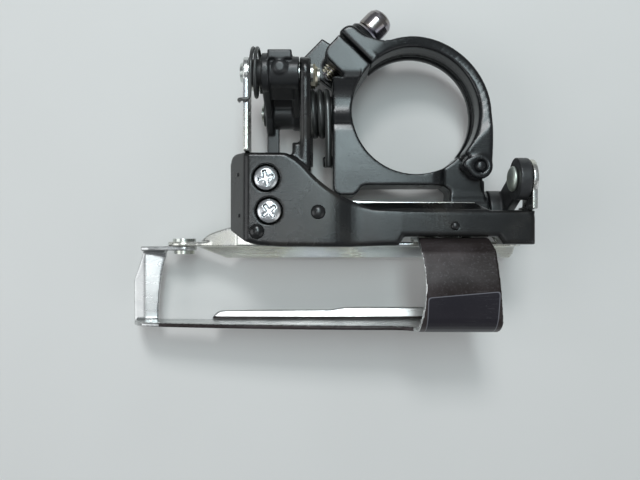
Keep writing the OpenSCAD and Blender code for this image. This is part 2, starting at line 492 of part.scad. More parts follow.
// Stations of the gusset: place, width and height
gusset = [for (i = [0:5]) let (u = i / 5, a = rivet_x + 5.6, b = flange_x - 0.1) [a + u * (b - a), sheet_t + 0.4 + u ^ 0.55 * (flange_w - sheet_t - 0.4), rivet_z + 2.6 + u * (plate_z0 - sheet_t - rivet_z - 2.6)]];
module inner_plate() color(plated) difference() {
  union() {
    flat_y(iy, iy + sheet_t) polygon(concat(bow([pf - 4, plate_z0], [pf, plate_z0 - 5], 0.9), [[pf, step_z], [rivet_x + 3.6, step_z], [rivet_x - 2.4, rivet_z - 3.9], [rivet_x, rivet_z + 4.4]],
      bow([rivet_x + 2, rivet_z + 4.5], [flange_x, plate_z0], -1.5)));
    bar_y(4.6, iy, iy + sheet_t, rivet_x, rivet_z);
    // Step and skirt, cut to their outline
    intersection() {
      flat_x(step_x, pf) polygon([[iy, step_z + 0.4], [iy + sheet_t, step_z + 0.4], [iy + sheet_t, step_z], [iy + sheet_t - step_dy, step_z - step_dz], [iy + sheet_t - step_dy, low_z],
        [iy - step_dy, low_z], [iy - step_dy, step_z - step_dz], [iy, step_z]]);
      flat_y(iy - 8, iy + 4) polygon(concat([[step_x, -step_z + 1], [pf, -step_z + 1]], bow([pf, step_z - 2.5], [pf - 12, low_z], 2.3), bow([pf - 15, low_z], [step_x + 9, low_z + 0.6], -1.6),
        bow([step_x + 6, low_z + 1.2], [step_x, step_z - step_dz - 2.1], 0.6)));
    }
    // Rear end of the step, run out towards the tail
    hull() {
      flat_x(step_x - 0.05, step_x) polygon([[iy, step_z], [iy + sheet_t, step_z], [iy + sheet_t - step_dy, step_z - step_dz], [iy - step_dy, step_z - step_dz]]);
      flat_x(rivet_x + 3.6, rivet_x + 3.7) polygon([[iy, step_z], [iy + sheet_t, step_z], [iy + sheet_t, rivet_z - 1.5], [iy, rivet_z - 1.5]]);
    }
    hull() {
      flat_x(step_x - 0.05, step_x) polygon([[iy - step_dy, step_z - step_dz], [iy + sheet_t - step_dy, step_z - step_dz], [iy + sheet_t - step_dy, step_z - step_dz - 2.1], [iy - step_dy, step_z - step_dz - 2.1]]);
      flat_x(rivet_x + 3.6, rivet_x + 3.7) polygon([[iy, rivet_z - 1.5], [iy + sheet_t, rivet_z - 1.5], [iy + sheet_t, rivet_z - 2.8], [iy, rivet_z - 2.8]]);
    }
    // Top flange under the carrier plate, and its gusset down to the tail
    box([flange_x, iy, plate_z0 - sheet_t], [br_x0 - 7.2, iy + flange_w, plate_z0]);
    box([arm_x - 7.6, iy, plate_z0 - sheet_t], [pf - 4, iy + flange_w - 1.1, plate_z0]);
    for (i = [0:4]) hull() for (p = [gusset[i], gusset[i + 1]]) box([p[0], iy, p[2]], [p[0] + 0.1, iy + p[1], p[2] + sheet_t]);
  }
  bar_y(1.6, iy - 5, iy + 5, rivet_x, rivet_z);
  for (x = bridge_rivets) bar_y(1.25, iy - 1, iy + 4, x, bridge_rivet_z);
  for (p = carrier_rivets) bar_z(p[2], plate_z0 - 4, plate_z1 + 1, p[0], p[1]);
}

// Outer cage plate: web, bent-in lower lip, front bridge, tail strap and tail tab
br_x0 = -0.8;
br_x1 = arm_x - 9.6;
leg_y = iy + sheet_t + 0.05 + sheet_t / 2;
out_y = oy - sheet_t / 2;
br_top = top_z + bridge_rise - sheet_t / 2;
br_line = concat([[leg_y, 0.8], [leg_y, br_top - 10]], bow([leg_y, br_top - 8.4], [leg_y - 7.4, br_top - 0.9], -2.1), bow([leg_y - 9.4, br_top - 0.35], [out_y + 8.4, br_top - 0.55], -0.3, 4),
  bow([out_y + 6.6, br_top - 1], [out_y, br_top - 8], -1.9), [[out_y, plate_z0]]);
function side2(p, i) = let (t = unit(p[min(i + 1, len(p) - 1)] - p[max(i - 1, 0)])) [-t[1], t[0]];
function band2(p, t) = concat([for (i = [0:len(p) - 1]) p[i] + t / 2 * side2(p, i)], [for (i = [len(p) - 1:-1:0]) p[i] - t / 2 * side2(p, i)]);
lip_z = -4.4;
lip_dz = 1.5;
lip_dy = 3.3;
tx = -tail_back;
lip_x0 = tx + 25.7;
lip_x1 = br_x1 - 5;
module outer_plate() color(sheet) difference() {
  union() {
    flat_y(oy - sheet_t, oy) polygon(concat(bow([br_x1 + 0.2, br_top - 7], [br_x1 - 3.4, lip_z], 2.6, 12), bow([lip_x0 - 4, lip_z], [tx + 9, strap_z], 0.2, 4), [[tx + 1.2, strap_z]],
      bow([tx + 0.9, strap_z + 0.6], [tx + 4.5, 3.1], 1.5), bow([tx + 5.2, 3.25], [br_x0 - 6, 10.3], 1.5, 10), bow([br_x0 - 4.6, 10.6], [br_x0, br_top - 7.2], -0.8)));
    // Lower lip, bent in along the web's lower edge and rounded at its ends
    intersection() {
      flat_x(lip_x0 - 4, lip_x1) polygon([[oy - sheet_t, lip_z + 0.3], [oy, lip_z + 0.3], [oy + 0.3, lip_z - 0.1], [oy + lip_dy + 1, lip_z - lip_dz], [oy + lip_dy + 1, lip_z - lip_dz - sheet_t], [oy - 0.1, lip_z - sheet_t - 0.2], [oy - sheet_t * 0.7, lip_z - sheet_t * 0.7]]);
      flat_z(lip_z - 6, lip_z + 2) polygon(concat([[lip_x1, oy - sheet_t - 1], [lip_x0 - 3.2, oy - sheet_t - 1]], bow([lip_x0 - 3.2, oy - 0.2], [lip_x0, oy + lip_dy - 0.9], 0.7, 5),
        bow([-23, oy + lip_dy - 0.7], [-19, oy + lip_dy], -0.05, 3), bow([lip_x1 - 4, oy + lip_dy], [lip_x1, oy - 0.4], 0.9, 5)));
    }
    // Front bridge with waisted edges
    intersection() {
      flat_x(br_x0 - 1, br_x1 + 3) polygon(band2(br_line, sheet_t));
      flat_z(-2, br_top + 5) polygon(concat([[br_x0, leg_y + 2]], bow([br_x0, leg_y - 2], [br_x0, out_y + 1], 1.1), [[br_x0, out_y - 2], [br_x1 + 0.2, out_y - 2]],
        bow([br_x1 + 0.2, out_y + 2], [br_x1 - 1.7, leg_y - 3], 0.3), [[br_x1 - 2.3, leg_y - 0.8], [br_x1 - 2.3, leg_y + 2]]));
    }
    // Tail strap folded along its length, and the tab under the rivet
    intersection() {
      flat_y(oy - sheet_t, iy - 0.1) polygon([[tx - 1, strap_z - 0.4], [tx + 3.2, strap_z + 0.3], [tx + 10, strap_z - 0.5], [tx + 10, strap_z - 0.5 + sheet_t], [tx + 3.2, strap_z + 0.3 + sheet_t], [tx - 1, strap_z - 0.4 + sheet_t]]);
      flat_z(strap_z - 2, strap_z + 4) polygon(concat([[tx, oy - sheet_t - 1], [tx - 0.1, iy - 10], [tx + 2.5, iy - 2.6], [tx + 2.5, iy + 1], [tx + 9.4, iy + 1], [tx + 9.4, iy - 1.2]], bow([tx + 9.2, iy - 2.4], [tx + 7, oy - 0.5], -0.7), [[tx + 7, oy - sheet_t - 1]]));
    }
    flat_y(iy - 0.1 - sheet_t, iy - 0.1) polygon([[tx + 2.5, strap_z - 0.1], [tx + 2.5, strap_z + 3.6], [tx + 5, strap_z + 4.5], [rivet_x, rivet_z + 3.5], [rivet_x, rivet_z - 3.5], [tx + 9, strap_z - 0.4]]);
    bar_y(3.6, iy - 0.1 - sheet_t, iy - 0.1, rivet_x, rivet_z);
    // Bend between strap and tab
    flat_x(tx + 2.6, tx + 9.2) polygon(concat([[iy - 3.3 - sheet_t + 1.2, strap_z + 0.1], [iy - 0.3, strap_z + 0.1], [iy - 0.3, strap_z + sheet_t + 1.9]],
      bow([iy - 0.1 - sheet_t, strap_z + sheet_t + 1.9], [iy - 2.1 - sheet_t, strap_z + sheet_t - 0.3], 0.6, 5)));
  }
  bar_y(1.6, iy - 5, iy + 1, rivet_x, rivet_z);
  for (x = bridge_rivets) bar_y(1.25, iy - 1, iy + 8, x, bridge_rivet_z);
}

// Rivets
module tail_rivet() color(plated) union() {
  bar_y(1.6, iy - 0.15 - sheet_t, iy + sheet_t + 0.05, rivet_x, rivet_z);
  bar_y(3.3, iy + sheet_t, iy + sheet_t + 0.9, rivet_x, rivet_z);
  bar_y(2.9, iy - 1.1 - sheet_t, iy - 0.1 - sheet_t, rivet_x, rivet_z);
}
bridge_rivets = [4, arm_x - 15.6];
bridge_rivet_z = plate_z0 - 3;
module bridge_rivet(x) union() {
  bar_y(1.25, iy - 0.05, leg_y + sheet_t / 2 + 0.05, x, bridge_rivet_z);
  bar_y(2, leg_y + sheet_t / 2, leg_y + sheet_t / 2 + 0.8, x, bridge_rivet_z);
  bar_y(2, iy - 0.7, iy, x, bridge_rivet_z);
}
module bridge_rivet_rear() color(plated) bridge_rivet(bridge_rivets[0]);
module bridge_rivet_front() color(plated) bridge_rivet(bridge_rivets[1]);
carrier_rivets = [[strap_x1 + 1.9, arm_out + 3.6, 1.25], [ear_x1 + 1.9, arm_out + 8.6, 1.25], [8.9, arm_out + 5, 0.8]];
module carrier_rivet(p, r, top, under) union() {
  bar_z(p[2], under - 0.1, top + 0.05, p[0], p[1]);
  translate([p[0], p[1], top]) cylinder(r1 = r, r2 = r * 0.62, h = r * 0.4);
  bar_z(p[2] + 0.45, under - 0.8, under, p[0], p[1]);
}
module carrier_rivet_rear() color(satin) carrier_rivet(carrier_rivets[0], 2, top_z, plate_z0 - sheet_t);
module carrier_rivet_mid() color(satin) carrier_rivet(carrier_rivets[1], 1.9, top_z, plate_z0);
module carrier_rivet_front() color(satin) carrier_rivet(carrier_rivets[2], 1.15, top_z - 0.7, plate_z0);

bracket();
clamp_band();
clamp_hinge_pin();
clamp_bolt();
clamp_washer();
inner_link_pin();
inner_link_clip();
outer_link_pin();
outer_link_clip();
return_spring();
spring_bush();
inner_link();
cable_anchor_bolt();
cable_claw();
cable_anchor_nut();
outer_link();
carrier();
carrier_plate();
rear_carrier_pin();
rear_pin_washer();
helper_bush();
helper_spring();
front_carrier_pin();
limit_screw_low();
limit_screw_high();
limit_screw_plate();
inner_plate();
outer_plate();
tail_rivet();
bridge_rivet_rear();
bridge_rivet_front();
carrier_rivet_rear();
carrier_rivet_mid();
carrier_rivet_front();
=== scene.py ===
import math
import bmesh
import bpy
import numpy as np
from mathutils import Matrix, Vector


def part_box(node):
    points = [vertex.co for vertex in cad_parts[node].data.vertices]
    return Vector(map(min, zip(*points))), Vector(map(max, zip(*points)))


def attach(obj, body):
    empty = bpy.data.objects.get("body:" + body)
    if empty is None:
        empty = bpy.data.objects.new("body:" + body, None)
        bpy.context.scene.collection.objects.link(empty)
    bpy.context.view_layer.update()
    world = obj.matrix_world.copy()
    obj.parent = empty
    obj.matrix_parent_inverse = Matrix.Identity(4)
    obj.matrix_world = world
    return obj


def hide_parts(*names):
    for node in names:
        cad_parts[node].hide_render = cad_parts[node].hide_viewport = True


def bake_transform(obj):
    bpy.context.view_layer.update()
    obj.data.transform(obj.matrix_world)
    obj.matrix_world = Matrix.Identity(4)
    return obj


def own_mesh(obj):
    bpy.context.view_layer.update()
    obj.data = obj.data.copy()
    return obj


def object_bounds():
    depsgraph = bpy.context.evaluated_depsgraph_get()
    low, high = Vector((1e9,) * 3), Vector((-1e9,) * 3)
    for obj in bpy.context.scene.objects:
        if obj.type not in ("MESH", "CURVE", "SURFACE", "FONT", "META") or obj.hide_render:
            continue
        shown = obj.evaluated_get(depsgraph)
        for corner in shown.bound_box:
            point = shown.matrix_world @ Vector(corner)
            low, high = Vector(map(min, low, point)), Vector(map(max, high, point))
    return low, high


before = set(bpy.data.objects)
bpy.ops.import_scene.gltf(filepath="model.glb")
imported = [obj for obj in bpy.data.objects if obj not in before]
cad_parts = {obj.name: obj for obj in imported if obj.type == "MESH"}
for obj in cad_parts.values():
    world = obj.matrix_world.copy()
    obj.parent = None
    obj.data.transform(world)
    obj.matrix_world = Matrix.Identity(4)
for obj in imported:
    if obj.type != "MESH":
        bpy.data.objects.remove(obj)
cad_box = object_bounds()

# Camera
# The part lies on a table and is looked at straight down, along the seat tube's axis.
# A wide lens stands about 176 mm above the clamp, over the cage's side of the tube.
mm = 0.001
scene = bpy.context.scene
scene.view_settings.view_transform = "Standard"
camera = bpy.data.objects.new("camera", bpy.data.cameras.new("camera"))
camera.data.lens = 35
camera.data.sensor_width = 36
camera.data.clip_start = 0.01
camera.location = (-26.2 * mm, -35.4 * mm, 176.4 * mm)
scene.collection.objects.link(camera)
scene.camera = camera


# Table top
# A plain pale laminate that the cage's lower edge rests on, a single sheet with a faint mottle.
def feed(tree, value, socket):
    if isinstance(value, bpy.types.NodeSocket):
        tree.links.new(value, socket)
    else:
        socket.default_value = value


def add(tree, kind, *ins, **named):
    node = tree.nodes.new("ShaderNode" + kind)
    for key, value in named.items():
        if key not in node.inputs:
            setattr(node, key, value)
    for key, value in named.items():
        if key in node.inputs:
            feed(tree, value, node.inputs[key])
    for place, value in enumerate(ins):
        feed(tree, value, node.inputs[place])
    return node


def tint(tree, share, under, over):
    node = tree.nodes.new("ShaderNodeMix")
    node.data_type = "RGBA"
    for place, value in ((0, share), (6, under), (7, over)):
        feed(tree, value, node.inputs[place])
    return node.outputs[2]


def ramp(tree, value, low, high, start=0.0, end=1.0):
    node = add(tree, "MapRange", value, low, high, start, end, interpolation_type="SMOOTHSTEP")
    return node.outputs[0]


def sums(tree, operation, *values):
    return add(tree, "Math", *values, operation=operation).outputs[0]


def finish_of(name):
    finish = bpy.data.materials.new(name)
    finish.use_nodes = True
    tree = finish.node_tree
    place = add(tree, "TexCoord").outputs["Object"]
    return finish, tree, place, tree.nodes["Principled BSDF"]


table_half = 1.6
table_gap = 0.1 * mm
floor_z = cad_box[0].z - table_gap
bm = bmesh.new()
bmesh.ops.create_grid(bm, x_segments=2, y_segments=2, size=table_half)
bmesh.ops.translate(bm, verts=bm.verts[:], vec=(0, 0, floor_z))
table_mesh = bpy.data.meshes.new("table_top")
bm.to_mesh(table_mesh)
bm.free()
table_top = bpy.data.objects.new("table_top", table_mesh)
scene.collection.objects.link(table_top)
laminate, tree, place, shader = finish_of("laminate")
mottle = add(tree, "TexNoise", Vector=place, Scale=14.0, Detail=3.0).outputs[0]
feed(tree, tint(tree, mottle, (0.70, 0.69, 0.67, 1), (0.76, 0.75, 0.73, 1)), shader.inputs["Base Color"])
shader.inputs["Roughness"].default_value = 0.55
table_mesh.materials.append(laminate)
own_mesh(table_top)


# Studio light
# A soft strip overhead that the black faces mirror and a soft key from the tube's far side.
# Two pale panels and a small glint show in the bright plate, with two wide fills in a pale room.
def softbox(name, place, width, depth, glow, target=None, colour=(0.96, 0.98, 1.0)):
    lamp = bpy.data.lights.new(name, "AREA")
    lamp.shape = "RECTANGLE"
    lamp.color = colour
    lamp.size = width
    lamp.size_y = depth
    lamp.energy = glow * math.pi * width * depth
    lit = bpy.data.objects.new(name, lamp)
    lit.location = place
    straight_down = (place[0], place[1], 0.0)
    aim = Vector(target or straight_down) - Vector(place)
    lit.rotation_euler = aim.to_track_quat("-Z", "Y").to_euler()
    scene.collection.objects.link(lit)


part_middle = (-0.026, -0.02, 0.0)
softbox("strip_overhead", (0.02, 0.20, 0.62), 0.11, 0.40, 9.8, colour=(0.82, 1.0, 1.04))
softbox("key", (-0.07, 0.40, 0.60), 0.16, 0.16, 19.0, part_middle)
softbox("panel_tail", (-0.33, -0.24, 0.85), 0.14, 0.34, 0.75)
softbox("panel_front", (0.05, -0.24, 0.85), 0.20, 0.34, 0.75)
softbox("glint_rear", (-0.115, -0.02, 0.62), 0.045, 0.11, 11.0)
softbox("fill_rear", (-0.62, -0.12, 0.42), 0.5, 0.5, 1.6, part_middle)
softbox("fill_front", (0.50, -0.40, 0.36), 0.5, 0.5, 0.7, part_middle)
room = bpy.data.worlds.new("room")
scene.world = room
room.use_nodes = True
backdrop = room.node_tree.nodes["Background"].inputs
backdrop["Color"].default_value = (0.86, 0.90, 0.95, 1)
backdrop["Strength"].default_value = 0.22


# Bracket
# The fixed half of the clamp with both bracket pivots, an aluminium casting in black paint.
# Its edges are softened as they leave the die, and the paint is thinnest on them.
def round_upper_edges(bm, radius, lowest, spare):
    # Sharp edges of upper faces above lowest get a real round, apart from those by the spare nodes
    margin = 0.9 * mm
    sharp = math.radians(38)
    bmesh.ops.dissolve_limit(bm, angle_limit=math.radians(1), verts=bm.verts[:], edges=bm.edges[:])
    boxes = [[Vector(c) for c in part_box(node)] for node in spare]
    upper = []
    for edge in bm.edges:
        mid = (edge.verts[0].co + edge.verts[1].co) / 2
        spared = any(
            a.x - margin < mid.x < b.x + margin and a.y - margin < mid.y < b.y + margin for a, b in boxes
        )
        high = min(v.co.z for v in edge.verts) > lowest
        if len(edge.link_faces) == 2 and high and not spared and edge.calc_face_angle_signed(0) > sharp:
            side, top = sorted(face.normal.z for face in edge.link_faces)
            if top > 0.7 and abs(side) < 0.6:
                upper.append(edge)
    bmesh.ops.bevel(
        bm, geom=upper, offset=radius, offset_type="OFFSET", affect="EDGES",
        segments=4, profile=0.5, material=-1,
    )


def places_and_normals(mesh):
    places = np.empty((len(mesh.vertices), 3))
    normals = np.empty((len(mesh.vertices), 3))
    mesh.vertices.foreach_get("co", places.reshape(-1))
    mesh.vertex_normals.foreach_get("vector", normals.reshape(-1))
    return places, normals


def ease(mesh, voxel, line, start, stop, near, far, reach):
    # Upper faces at several levels run into each other in one sweep along a line. Start and stop, and
    # near and far, bound it along the line and aside of it, and reach is the spread of each step, in mm
    start, stop, near, far = start * mm, stop * mm, near * mm, far * mm
    spread = reach * mm
    same_level = 0.3 * mm
    skin_depth = 2 * mm
    spot, normal = places_and_normals(mesh)
    along = spot[:, 0] * line[0] + spot[:, 1] * line[1]
    aside = spot[:, 1] * line[0] - spot[:, 0] * line[1]
    inside = (along > start) & (along < stop) & (aside > near) & (aside < far)
    upper = np.flatnonzero(inside & (normal[:, 2] > 0.8))
    steps = np.arange(start, stop, voxel)
    station = np.digitize(along[upper], steps)
    rows = [upper[station == n] for n in range(1, len(steps)) if (station == n).any()]
    rows = [row[abs(spot[row, 2] - np.percentile(spot[row, 2], 70)) < same_level] for row in rows]
    level = np.interp(steps, [along[row].mean() for row in rows], [spot[row, 2].mean() for row in rows])
    wide = int(3 * reach * mm / voxel)
    bell = np.exp(-0.5 * (np.arange(-wide, wide + 1) * voxel / spread) ** 2)
    lift = np.convolve(np.pad(level, wide, mode="edge"), bell / bell.sum(), "valid") - level
    run_out = np.clip(np.minimum(steps - steps[0], steps[-1] - steps) / (1.5 * spread), 0, 1)
    lift *= np.sin(run_out * math.pi / 2) ** 2
    depth = np.interp(along, steps, level) - spot[:, 2]
    share = np.clip(1.5 - depth / skin_depth, 0, 1)
    spot[:, 2] += np.where(inside, np.interp(along, steps, lift) * share, 0)
    mesh.vertices.foreach_set("co", spot.ravel())
    mesh.update()


def mark_edges(mesh, voxel):
    # How far each point stands out of its neighbours, for the wear on edges and the darkening in hollows
    contrast = 6
    spot, normal = places_and_normals(mesh)
    ends = np.empty((len(mesh.edges), 2), dtype=np.int32)
    mesh.edges.foreach_get("vertices", ends.reshape(-1))
    share = np.bincount(ends.ravel(), minlength=len(spot)).astype(float)

    def around(values):
        total = np.zeros_like(values)
        np.add.at(total, ends[:, 0], values[ends[:, 1]])
        np.add.at(total, ends[:, 1], values[ends[:, 0]])
        return total / (share if values.ndim == 1 else share[:, None])

    worn = ((spot - around(spot)) * normal).sum(1) / voxel
    for _ in range(2):
        worn = 0.5 * worn + 0.5 * around(worn)
    worn = np.clip(worn * contrast, -1, 1).astype(np.float32)
    mesh.attributes.new("edge_and_hollow", "FLOAT", "POINT").data.foreach_set("value", worn)


def skin_of(node, voxel, passes, rounding=0.0, lowest=-1.0, spare=(), sweeps=()):
    # A copy of a node's solid, drawn over with an even skin and softened by so many passes
    bm = bmesh.new()
    bm.from_mesh(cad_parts[node].data)
    bmesh.ops.remove_doubles(bm, verts=bm.verts[:], dist=2e-6)
    if rounding:
        round_upper_edges(bm, rounding, lowest, spare)
    mesh = bpy.data.meshes.new(node + "_skin")
    bm.to_mesh(mesh)
    bm.free()
    piece = bpy.data.objects.new(node + "_skin", mesh)
    scene.collection.objects.link(piece)
    surface = piece.modifiers.new("Surface", "REMESH")
    surface.mode = "VOXEL"
    surface.voxel_size = voxel
    surface.use_smooth_shade = True
    soften = piece.modifiers.new("Soften", "SMOOTH")
    soften.factor = 0.5
    soften.iterations = passes
    shaped = piece.evaluated_get(bpy.context.evaluated_depsgraph_get())
    made = bpy.data.meshes.new_from_object(shaped)
    piece.modifiers.clear()
    piece.data = made
    for sweep in sweeps:
        ease(made, voxel, **sweep)
    mark_edges(made, voxel)
    return piece


def fit(piece, finish, body, slot, *nodes):
    piece.data.materials.clear()
    piece.data.materials.append(finish)
    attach(piece, body)
    if nodes:
        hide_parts(*nodes)


def effect(name, takes, gives):
    group = bpy.data.node_groups.new(name, "ShaderNodeTree")
    for word, kind, value in takes:
        socket = group.interface.new_socket(word, in_out="INPUT", socket_type="NodeSocket" + kind)
        if value is not None:
            socket.default_value = value
    for word in gives:
        group.interface.new_socket(word, in_out="OUTPUT", socket_type="NodeSocketFloat")
    return group, group.nodes.new("NodeGroupInput").outputs, group.nodes.new("NodeGroupOutput").inputs


def use(tree, group, **named):
    node = tree.nodes.new("ShaderNodeGroup")
    node.node_tree = group
    for key, value in named.items():
        feed(tree, value, node.inputs[key])
    return node.outputs


def noise(tree, place, scale, detail, **named):
    return add(tree, "TexNoise", Vector=place, Scale=scale, Detail=detail, **named).outputs[0]


def bump(tree, shader, strength, distance, height):
    node = add(tree, "Bump", Strength=strength, Distance=distance, Height=height)
    feed(tree, node.outputs[0], shader.inputs["Normal"])


# Cast skin: fine grain with a few pits, and a slow change of tone
cast_skin, takes, gives = effect(
    "Cast skin",
    (("Place", "Vector", None), ("Grain", "Float", 1500.0), ("Pits", "Float", 0.5)),
    ("Height", "Tone"),
)
grain = noise(cast_skin, takes["Place"], takes["Grain"], 3.0, Roughness=0.6)
tone = noise(cast_skin, takes["Place"], sums(cast_skin, "MULTIPLY", takes["Grain"], 0.09), 4.0)
pit_scale = sums(cast_skin, "MULTIPLY", takes["Grain"], 0.45)
pit = add(cast_skin, "TexVoronoi", Vector=takes["Place"], Scale=pit_scale).outputs["Distance"]
pit = ramp(cast_skin, pit, 0.05, 0.28, 1.0, 0.0)
pit = sums(cast_skin, "MULTIPLY", pit, ramp(cast_skin, tone, 0.48, 0.62))
pit = sums(cast_skin, "MULTIPLY", pit, takes["Pits"])
feed(cast_skin, sums(cast_skin, "SUBTRACT", grain, pit), gives["Height"])
feed(cast_skin, tone, gives["Tone"])

# Handling wear: bare metal on proud edges, hairline scratches, and smudges of grease and dust
wear, takes, gives = effect(
    "Handling wear",
    (("Place", "Vector", None), ("Edge", "Float", 0.0), ("Amount", "Float", 0.5), ("Scale", "Float", 160.0)),
    ("Bare", "Scratch", "Smudge"),
)
rubbed = noise(wear, takes["Place"], takes["Scale"], 6.0, Roughness=0.65)
level = sums(wear, "MULTIPLY_ADD", takes["Amount"], 0.4, -0.62)
edge = sums(wear, "MULTIPLY_ADD", takes["Edge"], 0.55, level)
feed(wear, ramp(wear, sums(wear, "ADD", edge, rubbed), 0.48, 0.62), gives["Bare"])
drift = add(wear, "Mapping", Vector=takes["Place"], Rotation=(0.3, 0.2, 0.6), Scale=(0.06, 1.0, 0.6))
hairline = noise(wear, drift.outputs[0], 2600.0, 1.0)
hairline = sums(wear, "ABSOLUTE", sums(wear, "SUBTRACT", hairline, 0.5))
hairline = ramp(wear, hairline, 0.004, 0.012, 1.0, 0.0)
patches = ramp(wear, noise(wear, takes["Place"], 95.0, 2.0), 0.5, 0.66)
feed(wear, sums(wear, "MULTIPLY", hairline, patches), gives["Scratch"])
feed(wear, noise(wear, takes["Place"], 62.0, 5.0, Distortion=0.8), gives["Smudge"])


def painted(name, colour, bare, grain, pits, rough, relief, rub, dust_and_glint=(0.003, 0.003, 0.003)):
    finish, tree, place, shader = finish_of(name)
    edge = add(tree, "Attribute", attribute_name="edge_and_hollow").outputs["Fac"]
    skin = use(tree, cast_skin, Place=place, Grain=grain, Pits=pits)
    used = use(tree, wear, Place=place, Edge=edge, Amount=rub)
    # Smudges lighten the paint towards a dust colour; on the carrier it is warm brown, dust and also a
    # painted glint
    dust_and_glint_colour = tuple(c * 1.5 + d for c, d in zip(colour, dust_and_glint)) + (1,)
    coat = tint(tree, ramp(tree, used["Smudge"], 0.42, 0.75), colour, dust_and_glint_colour)
    coat = tint(tree, sums(tree, "MULTIPLY", used["Scratch"], 0.08), coat, bare)
    feed(tree, tint(tree, used["Bare"], coat, bare), shader.inputs["Base Color"])
    feed(tree, sums(tree, "MULTIPLY", used["Bare"], 0.7), shader.inputs["Metallic"])
    dull = sums(tree, "MULTIPLY_ADD", used["Smudge"], 0.16, rough - 0.08)
    dull = sums(tree, "MULTIPLY_ADD", skin["Tone"], 0.08, dull)
    feed(tree, sums(tree, "MULTIPLY_ADD", used["Scratch"], 0.06, dull), shader.inputs["Roughness"])
    height = sums(tree, "MULTIPLY_ADD", used["Scratch"], -0.12, skin["Height"])
    bump(tree, shader, relief, 0.12 * mm, height)
    return finish


cast_alloy = (0.30, 0.31, 0.32, 1)
cast_paint = painted(
    "black paint on the casting", (0.0060, 0.0066, 0.0072, 1), cast_alloy,
    grain=1900.0, pits=0.4, rough=0.21, relief=0.08, rub=0.20,
)
saddle_sweep = dict(line=(0, 1), start=-14.0, stop=12.5, near=15.0, far=26.0, reach=1.8)
bracket_skin = skin_of("bracket", voxel=0.36 * mm, passes=3, sweeps=[saddle_sweep])
fit(bracket_skin, cast_paint, "bracket", "black_cast", "bracket")

# Clamp band
# The hinged half of the clamp, cast and painted as the bracket is, with a relief inside
# between its two rims. It turns on the hinge pin and is drawn in by the bolt.
waist_sweep = dict(line=(-0.707, 0.707), start=-18.2, stop=21.0, near=-40.0, far=-3.0, reach=2.6)
band_skin = skin_of(
    "clamp_band", voxel=0.34 * mm, passes=7, rounding=0.8 * mm, lowest=0.0, sweeps=[waist_sweep]
)
fit(band_skin, cast_paint, "clamp_band", "black_cast", "clamp_band")


# Clamp bolt, its collar and the hinge pin
# Turned steel. The bolt and its collar are zinc plated, and the bolt's thread is rolled.
# The hinge pin is peened over in its eye and painted with the clamp.
def plated(name, colour, shade, streaks, rough, relief, turn=(0.0, 0.0, 0.0)):
    finish, tree, place, shader = finish_of(name)
    place = add(tree, "Mapping", Vector=place, Rotation=turn).outputs[0]
    edge = add(tree, "Attribute", attribute_name="edge_and_hollow").outputs["Fac"]
    steel = use(tree, rolled, Place=place, Streaks=streaks)
    used = use(tree, wear, Place=place, Edge=edge, Amount=0.3, Scale=210.0)
    scratched = tuple(c * 0.45 for c in colour[:3]) + (1,)
    yellowed = (colour[0] * 1.04, colour[1] * 0.98, colour[2] * 0.80, 1)
    base = tint(tree, ramp(tree, steel["Cloud"], 0.40, 0.72), colour, shade)
    base = tint(tree, sums(tree, "MULTIPLY", used["Scratch"], 0.25), base, scratched)
    stain = sums(tree, "MULTIPLY", ramp(tree, used["Smudge"], 0.46, 0.66), 0.55)
    base = tint(tree, stain, base, yellowed)
    # Points in hollows are darkened towards dark brown
    darker_in_hollows = sums(tree, "MULTIPLY", ramp(tree, edge, -0.15, -0.75), 0.8)
    feed(tree, tint(tree, darker_in_hollows, base, (0.05, 0.045, 0.04, 1)), shader.inputs["Base Color"])
    shader.inputs["Metallic"].default_value = 1.0
    dull = sums(tree, "MULTIPLY_ADD", steel["Streak"], 0.12, rough - 0.10)
    feed(tree, sums(tree, "MULTIPLY_ADD", used["Smudge"], 0.10, dull), shader.inputs["Roughness"])
    height = sums(tree, "MULTIPLY_ADD", used["Scratch"], -0.4, steel["Streak"])
    bump(tree, shader, relief, 0.06 * mm, height)
    return finish


def coat_nodes(finish, *nodes):
    for node in nodes:
        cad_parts[node].data.materials.clear()
        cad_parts[node].data.materials.append(finish)


def piece_from(bm, name):
    mesh = bpy.data.meshes.new(name)
    for face in bm.faces:
        face.smooth = True
    bm.to_mesh(mesh)
    bm.free()
    piece = bpy.data.objects.new(name, mesh)
    scene.collection.objects.link(piece)
    return piece


def turned(points, centre, axis, steps):
    bm = bmesh.new()
    profile = [bm.verts.new(point) for point in points]
    lines = [bm.edges.new(pair) for pair in zip(profile, profile[1:])]
    bmesh.ops.spin(
        bm, geom=profile + lines, cent=centre, axis=axis, angle=2 * math.pi, steps=steps, use_merge=True
    )
    bmesh.ops.remove_doubles(bm, verts=bm.verts[:], dist=1e-6)
    bmesh.ops.recalc_face_normals(bm, faces=bm.faces[:])
    return bm


# Rolled steel: streaks along the sheet or the wire, and a slow cloud in the plating
rolled, takes, gives = effect(
    "Rolled steel", (("Place", "Vector", None), ("Streaks", "Float", 900.0)), ("Streak", "Cloud")
)
drawn = add(rolled, "Mapping", Vector=takes["Place"], Scale=(0.05, 1.0, 1.0)).outputs[0]
feed(rolled, noise(rolled, drawn, takes["Streaks"], 4.0, Roughness=0.7), gives["Streak"])
feed(rolled, noise(rolled, takes["Place"], 120.0, 4.0, Distortion=0.6), gives["Cloud"])

bolt_a = math.radians(46)
# The zinc on the bolt and collar has a dark base, a painted dark reflection of its surroundings
bolt_zinc = plated(
    "zinc plate, bluish", (0.40, 0.39, 0.46, 1), (0.33, 0.30, 0.27, 1),
    streaks=700.0, rough=0.22, relief=0.04, turn=(0, 0, -bolt_a),
)
coat_nodes(bolt_zinc, "clamp_bolt", "clamp_washer")

